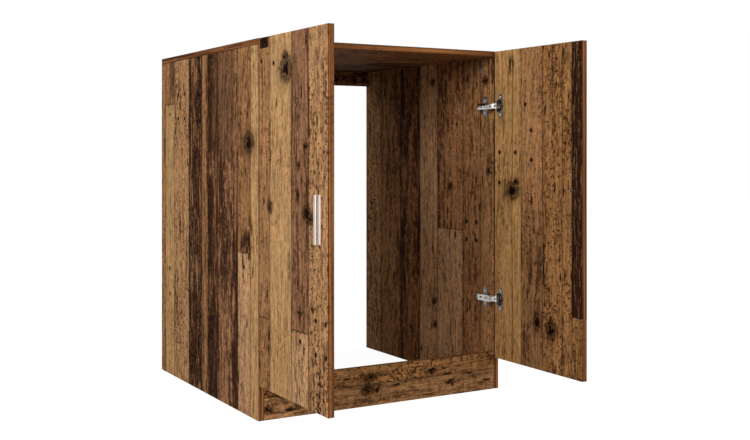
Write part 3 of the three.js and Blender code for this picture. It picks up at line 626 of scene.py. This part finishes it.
soft_board("door_right", "door_right", right_door_print)

# Cam fittings: eccentric cams and their bolts, which pull the boards together at the corners. The
# cams are zinc die castings, dull and finely grained, and are let into the inner faces.


def plain_metal(name, colour, smoothest, roughest, cycles, edge):
    """A bare metal between two roughnesses. Its pattern has so many cycles a metre along X, Y and Z, and
    edge is the radius that its edges seem to have, in metres."""
    material, tree = new_material(name)
    place = add(tree, "ShaderNodeTexCoord", {}, {})
    spot = add(tree, "ShaderNodeVectorMath", {"operation": "MULTIPLY"},
               {0: place.outputs["Object"], 1: cycles})
    mottle = add(tree, "ShaderNodeTexNoise", {}, {"Vector": spot, "Scale": 1.0, "Detail": 3.0})
    gloss = add(tree, "ShaderNodeMapRange", {},
                {"Value": mottle, "From Min": 0.3, "From Max": 0.7, "To Min": smoothest, "To Max": roughest})
    tint = add(tree, "ShaderNodeMapRange", {},
               {"Value": mottle, "From Min": 0.3, "From Max": 0.7, "To Min": 0.9, "To Max": 1.04})
    shade = add(tree, "ShaderNodeVectorMath", {"operation": "SCALE"}, {0: linear(colour)[:3], "Scale": tint})
    soft_edge = add(tree, "ShaderNodeBevel", {"samples": 6}, {"Radius": edge})
    bump = add(tree, "ShaderNodeBump", {},
               {"Strength": 0.15, "Distance": 0.0001, "Height": mottle, "Normal": soft_edge})
    surface = add(tree, "ShaderNodeBsdfPrincipled", {},
                  {"Base Color": shade, "Metallic": 1.0, "Roughness": gloss, "Normal": bump})
    add(tree, "ShaderNodeOutputMaterial", {}, {"Surface": surface})
    return material


def smooth_fitting(node, body, material):
    """The fitting with its triangles joined and its curved faces smooth."""
    form = bmesh.new()
    form.from_mesh(nodes[node].data)
    bmesh.ops.remove_doubles(form, verts=form.verts[:], dist=merge_distance)
    mesh = bpy.data.meshes.new(node + "_fitting")
    form.to_mesh(mesh)
    form.free()
    mesh.shade_smooth()
    mesh.set_sharp_from_angle(angle=math.radians(35))
    piece = place_piece(node + "_fitting", mesh, material, body, [node])
    normals = piece.modifiers.new("Weighted normals", "WEIGHTED_NORMAL")
    normals.keep_sharp = True


# Cast zinc gives a dull, cloudy grey. Its grain of 0.3 mm is drawn at 2 mm, so that it shows.
zinc = plain_metal("Zinc die casting", "#a9aaab", 0.38, 0.55, (500.0, 500.0, 500.0), 0.0004)
for name in nodes:
    if name.startswith("cam_lock"):
        smooth_fitting(name, "carcass", zinc)

# Handles: short waisted bars of extruded aluminium, brushed along their length and anodised, and
# held by two screws each, from inside the door.

# Brushing and anodising give a pale sheen in soft lengthwise streaks. Brush lines 0.1 mm apart are
# drawn 0.4 mm apart, so that they show.
aluminium = plain_metal("Brushed anodised aluminium", "#e8e0da", 0.52, 0.64, (2500.0, 2500.0, 30.0), 0.0005)
for side in ("left", "right"):
    smooth_fitting("handle_" + side, "door_" + side, aluminium)

# Hinges: concealed cup hinges of pressed steel, nickel-plated. The plate and the arm are screwed to
# the side, the cup to the door, and two links join the arm and the cup.

# Bright plating gives clear, slightly warm reflections, which waver over 3 mm as pressed sheet
# does. Plates, cups and handle screws get a darker copy of the same nickel, which is painted shade
# and painted dark reflections, with softer reflections from its higher roughness.
sheet_waver = (300.0, 300.0, 300.0)
bright_nickel = plain_metal("Bright nickel-plated steel", "#d3cfc8", 0.10, 0.20, sheet_waver, 0.0003)
shaded_nickel = plain_metal("Nickel-plated steel, darkened for painted shade", "#76706b", 0.14, 0.28, sheet_waver, 0.0003)
# Plates and cups take the darker nickel copy, whose colour is painted shade and dark reflections
for side in ("left", "right"):
    for level in ("bottom", "top"):
        hinge = level + "_hinge_"
        smooth_fitting(hinge + "plate_" + side, "carcass", shaded_nickel)
        smooth_fitting(hinge + "arm_" + side, "carcass", bright_nickel)
        smooth_fitting(hinge + "cup_" + side, "door_" + side, shaded_nickel)
        for link in ("outer_link_", "inner_link_"):
            link_name = hinge + link + side
            smooth_fitting(link_name, link_name, bright_nickel)

# Screws: hardened steel, nickel-plated, with domed heads and a cross recess. They hold the plates,
# the cups and the handles.
screws = bpy.data.node_groups.new("Cross-recess screws", "GeometryNodeTree")
screws.is_modifier = True
screws.interface.new_socket(name="Seats", in_out="INPUT", socket_type="NodeSocketGeometry")
for label in ("Head radius", "Head height", "Shank radius", "Shank length"):
    screws.interface.new_socket(name=label, in_out="INPUT", socket_type="NodeSocketFloat")
screws.interface.new_socket(name="Turn seed", in_out="INPUT", socket_type="NodeSocketInt")
screws.interface.new_socket(name="Finish", in_out="INPUT", socket_type="NodeSocketMaterial")
screws.interface.new_socket(name="Screws", in_out="OUTPUT", socket_type="NodeSocketGeometry")
given = add(screws, "NodeGroupInput", {}, {})
head_radius = given.outputs["Head radius"]
head_height = given.outputs["Head height"]
shank_length = given.outputs["Shank length"]


def raised(solid, height):
    """A part of the screw, moved up along the screw's line."""
    place = add(screws, "ShaderNodeCombineXYZ", {}, {2: height})
    return add(screws, "GeometryNodeTransform", {}, {"Geometry": solid, "Translation": place})


# Head: a cylinder cut by a large ball, which leaves a dome over a low rim
head_middle = add(screws, "ShaderNodeMath", {"operation": "MULTIPLY"}, {0: head_height, 1: 0.5})
head = add(screws, "GeometryNodeMeshCylinder", {},
           {"Vertices": 32, "Radius": head_radius, "Depth": head_height})
head = raised(head, head_middle)
dome_height = add(screws, "ShaderNodeMath", {"operation": "MULTIPLY"}, {0: head_height, 1: 0.65})
radius_squared = add(screws, "ShaderNodeMath", {"operation": "POWER"}, {0: head_radius, 1: 2.0})
ball_radius = add(screws, "ShaderNodeMath", {"operation": "DIVIDE"}, {0: radius_squared, 1: dome_height})
ball_radius = add(screws, "ShaderNodeMath", {"operation": "ADD"}, {0: ball_radius, 1: dome_height})
ball_radius = add(screws, "ShaderNodeMath", {"operation": "MULTIPLY"}, {0: ball_radius, 1: 0.5})
ball = add(screws, "GeometryNodeMeshUVSphere", {}, {"Segments": 32, "Rings": 48, "Radius": ball_radius})
ball_drop = add(screws, "ShaderNodeMath", {"operation": "SUBTRACT"}, {0: head_height, 1: ball_radius})
ball = raised(ball, ball_drop)
domed = add(screws, "GeometryNodeMeshBoolean", {"operation": "INTERSECT", "solver": "EXACT"}, {1: head})
screws.links.new(ball.outputs[0], domed.inputs[1])

# Shank under the head, which it enters by 0.1 mm, and two crossed slots cut in the head
overlap = 0.0001
shank_middle = add(screws, "ShaderNodeMath", {"operation": "MULTIPLY"}, {0: shank_length, 1: -0.5})
shank_middle = add(screws, "ShaderNodeMath", {"operation": "ADD"}, {0: shank_middle, 1: overlap})
shank = add(screws, "GeometryNodeMeshCylinder", {},
            {"Vertices": 16, "Radius": given.outputs["Shank radius"], "Depth": shank_length})
shank = raised(shank, shank_middle)
whole = add(screws, "GeometryNodeMeshBoolean", {"operation": "UNION", "solver": "EXACT"}, {1: domed})
screws.links.new(shank.outputs[0], whole.inputs[1])
recess_span = add(screws, "ShaderNodeMath", {"operation": "MULTIPLY"}, {0: head_radius, 1: 1.25})
recess_width = add(screws, "ShaderNodeMath", {"operation": "MULTIPLY"}, {0: head_radius, 1: 0.3})
recess_depth = add(screws, "ShaderNodeMath", {"operation": "MULTIPLY"}, {0: head_height, 1: 1.3})
for wide, tall in ((recess_span, recess_width), (recess_width, recess_span)):
    size = add(screws, "ShaderNodeCombineXYZ", {}, {0: wide, 1: tall, 2: recess_depth})
    recess = raised(add(screws, "GeometryNodeMeshCube", {}, {"Size": size}), head_height)
    whole = add(screws, "GeometryNodeMeshBoolean", {"operation": "DIFFERENCE", "solver": "EXACT"},
                {0: whole, 1: recess})

# One screw on each seat, turned to the way its board faces, with its slots at any angle
full_turn = 6.28
faced = add(screws, "GeometryNodeInputNamedAttribute", {"data_type": "FLOAT_VECTOR"}, {"Name": "facing"})
copies = add(screws, "GeometryNodeInstanceOnPoints", {},
             {"Points": given.outputs["Seats"], "Instance": whole, "Rotation": faced})
angle = add(screws, "FunctionNodeRandomValue", {"data_type": "FLOAT"},
            {3: full_turn, "Seed": given.outputs["Turn seed"]})
twist = add(screws, "ShaderNodeCombineXYZ", {}, {2: angle.outputs[1]})
copies = add(screws, "GeometryNodeRotateInstances", {}, {"Instances": copies, "Rotation": twist})
meshed = add(screws, "GeometryNodeRealizeInstances", {}, {"Geometry": copies})
smooth = add(screws, "GeometryNodeSetShadeSmooth", {}, {"Geometry": meshed})
bend_angle = add(screws, "GeometryNodeInputMeshEdgeAngle", {}, {})
is_sharp = add(screws, "ShaderNodeMath", {"operation": "GREATER_THAN"}, {0: bend_angle, 1: 0.5})
smooth = add(screws, "GeometryNodeSetShadeSmooth", {"domain": "EDGE"},
             {"Geometry": smooth, "Selection": is_sharp, "Shade Smooth": False})
finished = add(screws, "GeometryNodeSetMaterial", {},
               {"Geometry": smooth, "Material": given.outputs["Finish"]})
add(screws, "NodeGroupOutput", {}, {"Screws": finished})


def fasten(name, body, replaced, sizes, seed, finish):
    """Makes one body's screws, which are alike, at their nodes. Their heads look to the middle."""
    seats = []
    facing = []
    for node in replaced:
        low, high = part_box(node)
        on_left = low[0] < 0
        seat_x = high[0] - sizes["Head height"] if on_left else low[0] + sizes["Head height"]
        seats.append((seat_x, (low[1] + high[1]) / 2, (low[2] + high[2]) / 2))
        facing.extend((0.0, math.radians(90 if on_left else -90), 0.0))
    shank = high[0] - low[0] - sizes["Head height"] + overlap
    points = bpy.data.meshes.new(name + "_seats")
    points.from_pydata(seats, [], [])
    points.attributes.new("facing", "FLOAT_VECTOR", "POINT").data.foreach_set("vector", facing)
    holder = bpy.data.objects.new(name + "_holder", points)
    bpy.context.scene.collection.objects.link(holder)
    modifier = holder.modifiers.new("Screws", "NODES")
    modifier.node_group = screws
    values = {"Shank length": shank, "Turn seed": seed, "Finish": finish}
    values.update(sizes)
    for item in screws.interface.items_tree:
        if item.name in values:
            modifier[item.identifier] = values[item.name]
    ready = holder.evaluated_get(bpy.context.evaluated_depsgraph_get())
    mesh = bpy.data.meshes.new_from_object(ready)
    bpy.data.objects.remove(holder)
    place_piece(name, mesh, finish, body, replaced)


# The small screws get a paler copy of the nickel, lighter than real plating: a painted highlight,
# so that they stand out from the plates as light satin dots
highlight_nickel = plain_metal("Nickel-plated steel, lightened for painted highlights", "#f4f1ec", 0.30, 0.42, sheet_waver, 0.0002)
small = {"Head radius": 0.0036, "Head height": 0.0016, "Shank radius": 0.0019}
large = {"Head radius": 0.004, "Head height": 0.0022, "Shank radius": 0.002}
plate_screws = [name for name in nodes if "plate_screw" in name]
# The plate and cup screws take the paler nickel copy, whose colour is a painted highlight
fasten("plate_screws", "carcass", plate_screws, small, 3, highlight_nickel)
for side in ("left", "right"):
    cup_screws = [name for name in nodes if "cup_screw" in name and name.endswith(side)]
    fasten("cup_screws_" + side, "door_" + side, cup_screws, small, 5, highlight_nickel)
    handle_screws = [name for name in nodes if "handle_screw" in name and name.endswith(side)]
    # The handle screws take the darker nickel copy, whose colour is painted shade
    fasten("handle_screws_" + side, "door_" + side, handle_screws, large, 7, shaded_nickel)

# Studio: a white floor and background, as in a catalogue picture, with one large soft lamp to the
# front left and a weaker one to the right.


def seen_share(tree):
    """How white a ray finds the studio: 1 from the camera, 0.6 from metal, 0 as light on boards."""
    rays = add(tree, "ShaderNodeLightPath", {}, {})
    glossy = rays.outputs["Is Glossy Ray"]
    glints = add(tree, "ShaderNodeMath", {"operation": "MULTIPLY"}, {0: glossy, 1: 0.6})
    camera_ray = rays.outputs["Is Camera Ray"]
    return add(tree, "ShaderNodeMath", {"operation": "MAXIMUM"}, {0: camera_ray, 1: glints})


# Matt paper that glows to the camera, so that its white is even, and lights the boards as grey does
floor_material, floor_tree = new_material("Studio floor")
paper = add(floor_tree, "ShaderNodeBsdfDiffuse", {}, {"Color": (0.3, 0.3, 0.3, 1.0)})
glow = add(floor_tree, "ShaderNodeEmission", {}, {"Color": (1.0, 1.0, 1.0, 1.0), "Strength": 0.93})
lit_paper = add(floor_tree, "ShaderNodeAddShader", {}, {0: paper, 1: glow})
mixed = add(floor_tree, "ShaderNodeMixShader", {}, {0: seen_share(floor_tree), 1: paper, 2: lit_paper})
add(floor_tree, "ShaderNodeOutputMaterial", {}, {"Surface": mixed})
half_floor = 9
under_feet = -0.0005
corners = [(x * half_floor, y * half_floor, under_feet) for x, y in ((-1, -1), (1, -1), (1, 1), (-1, 1))]
floor_mesh = bpy.data.meshes.new("studio_floor")
floor_mesh.from_pydata(corners, [], [(0, 1, 2, 3)])
floor = bpy.data.objects.new("studio_floor", floor_mesh)
bpy.context.scene.collection.objects.link(floor)
floor.data.materials.append(floor_material)

# Background: full white to the camera, 0.74 in metal, and 0.35 as light on the boards
world = bpy.data.worlds.new("Studio")
bpy.context.scene.world = world
world.use_nodes = True
sky_tree = world.node_tree
sky_tree.nodes.clear()
level = add(sky_tree, "ShaderNodeMath", {"operation": "MULTIPLY_ADD"},
            {0: seen_share(sky_tree), 1: 0.65, 2: 0.35})
sky = add(sky_tree, "ShaderNodeBackground", {}, {"Color": (1.0, 1.0, 1.0, 1.0), "Strength": level})
add(sky_tree, "ShaderNodeOutputWorld", {}, {"Surface": sky})

cabinet_middle = Vector((0.0, 0.0, 0.45))
for name, place, size, power in (
        ("Key lamp", (-3.6, -2.6, 2.3), 2.4, 120.0),
        ("Fill lamp", (1.6, -4.2, 2.0), 2.0, 60.0)):
    lamp = bpy.data.lights.new(name, "AREA")
    lamp.shape = "SQUARE"
    lamp.size = size
    lamp.energy = power
    lamp_object = bpy.data.objects.new(name, lamp)
    lamp_object.location = place
    aim = cabinet_middle - Vector(place)
    lamp_object.rotation_euler = aim.to_track_quat("-Z", "Y").to_euler()
    bpy.context.scene.collection.objects.link(lamp_object)

# Camera: its lens, place and turn are fitted to the straight edges of the photograph. It is level,
# and shifted down so that the upright edges stay parallel.
camera_data = bpy.data.cameras.new("Camera")
camera_data.sensor_width = 36.0
camera_data.lens = 51.09
camera_data.shift_y = -0.0944
camera = bpy.data.objects.new("Camera", camera_data)
camera.location = (-1.39288, -2.50316, 0.6496)
camera.rotation_euler = (math.radians(90.0), 0.0, math.radians(-30.235))
bpy.context.scene.collection.objects.link(camera)
bpy.context.scene.camera = camera
bpy.context.scene.view_settings.view_transform = "Standard"
